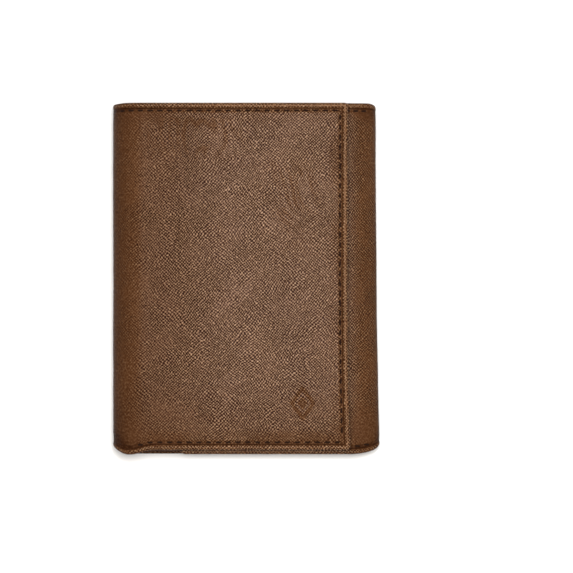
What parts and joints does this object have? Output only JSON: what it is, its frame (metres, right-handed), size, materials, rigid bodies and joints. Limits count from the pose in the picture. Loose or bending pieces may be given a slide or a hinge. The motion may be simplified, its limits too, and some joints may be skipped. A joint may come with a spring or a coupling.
{
  "type": "trifold wallet",
  "caption": "Closed trifold wallet of grained leather: a front flap folded over an inner flap and a centre panel, with card pockets, an ID window and a bill compartment.",
  "frame": {"origin": "middle of the back face, on the surface that the closed wallet lies on", "axes": "+Y along the wallet's height towards the bill compartment's mouth, +X across its width towards the inner flap's fold, +Z out of the front face"},
  "size_m": [0.082, 0.108, 0.0148],
  "materials": {
    "outer_leather": "brown pebble-grained leather with a soft satin sheen",
    "inner_leather": "smoother, darker brown leather",
    "lining": "dark brown woven lining",
    "board": "plain grey-brown board, hidden between the layers",
    "film": "clear, slightly cloudy vinyl",
    "thread": "waxed brown sewing thread"
  },
  "bodies": {
    "centre_panel": {"centre_shell": "outer_leather", "centre_stiffener": "board", "centre_lining": "lining", "centre_hem": "outer_leather", "centre_divider_lining": "lining", "centre_divider": "inner_leather", "centre_pocket_1": "inner_leather", "centre_pocket_2": "inner_leather", "centre_pocket_3": "inner_leather"},
    "left_fold": {"left_fold_shell": "outer_leather", "left_fold_lining": "lining", "left_fold_divider": "inner_leather"},
    "front_flap": {"front_shell": "outer_leather", "front_stiffener": "board", "front_lining": "lining", "front_hem": "outer_leather", "front_divider_lining": "lining", "front_divider": "inner_leather", "front_pocket_1": "inner_leather", "front_pocket_2": "inner_leather", "front_pocket_3": "inner_leather", "front_thread": "thread"},
    "right_fold": {"right_fold_shell": "outer_leather", "right_fold_lining": "lining", "right_fold_divider": "inner_leather"},
    "inner_flap": {"inner_shell": "outer_leather", "inner_stiffener": "board", "inner_lining": "lining", "inner_hem": "outer_leather", "inner_divider_lining": "lining", "inner_divider": "inner_leather", "id_window_film": "film", "id_window_frame": "inner_leather", "inner_thread": "thread"}
  },
  "joints": [
    {"name": "front_fold", "type": "hinge", "parent": "centre_panel", "child": "left_fold", "pos_m": [-0.041, 0, 0], "axis": [0, -1, 0], "range_deg": [0, 90]},
    {"name": "front_fold_edge", "type": "hinge", "parent": "left_fold", "child": "front_flap", "pos_m": [-0.041, 0, 0.01465], "axis": [0, -1, 0], "range_deg": [0, 90]},
    {"name": "inner_fold", "type": "hinge", "parent": "centre_panel", "child": "right_fold", "pos_m": [0.041, 0, 0], "axis": [0, 1, 0], "range_deg": [0, 32.4]},
    {"name": "inner_fold_edge", "type": "hinge", "parent": "right_fold", "child": "inner_flap", "pos_m": [0.041, 0, 0.0093], "axis": [0, 1, 0], "range_deg": [0, 32.4]}
  ],
  "couplings": [
    {"joint": "front_fold_edge", "follows": "front_fold", "ratio": 1},
    {"joint": "inner_fold", "follows": "front_fold", "ratio": 0.36},
    {"joint": "inner_fold_edge", "follows": "front_fold", "ratio": 0.36}
  ]
}
